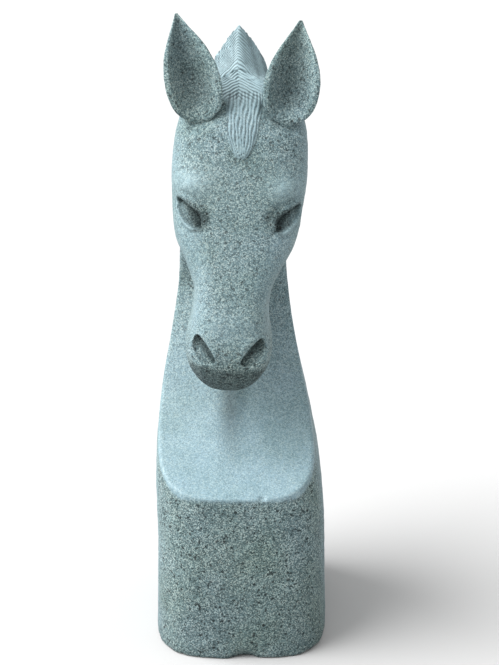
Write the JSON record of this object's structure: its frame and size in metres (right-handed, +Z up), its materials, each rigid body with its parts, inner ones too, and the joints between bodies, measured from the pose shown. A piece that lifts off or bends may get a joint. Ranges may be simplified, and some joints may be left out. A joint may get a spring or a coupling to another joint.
{
  "type": "giant chess knight",
  "caption": "Tall carved granite horse head on a rounded block foot, a garden-size knight that stands free, with set-in ears and a ridged mane.",
  "frame": {"origin": "middle of the flat underside of the foot", "axes": "+Z up, the horse faces -Y, +X to the right of a person who looks at its face"},
  "size_m": [0.279, 0.3801, 0.9985],
  "materials": {
    "granite_body": "grey-green granite, honed on the chest and flanks, rough-tooled on the front of the foot",
    "granite_head": "grey-green granite, fine-tooled, speckled",
    "granite_ears": "grey-green granite, fine-tooled, darker in the hollows",
    "dowel_steel": "drawn stainless rod"
  },
  "bodies": {
    "root": {"body": "granite_body", "head": "granite_head", "left_ear": "granite_ears", "right_ear": "granite_ears", "head_dowel_upper": "dowel_steel", "head_dowel_lower": "dowel_steel", "left_ear_pin": "dowel_steel", "right_ear_pin": "dowel_steel"}
  },
  "joints": []
}
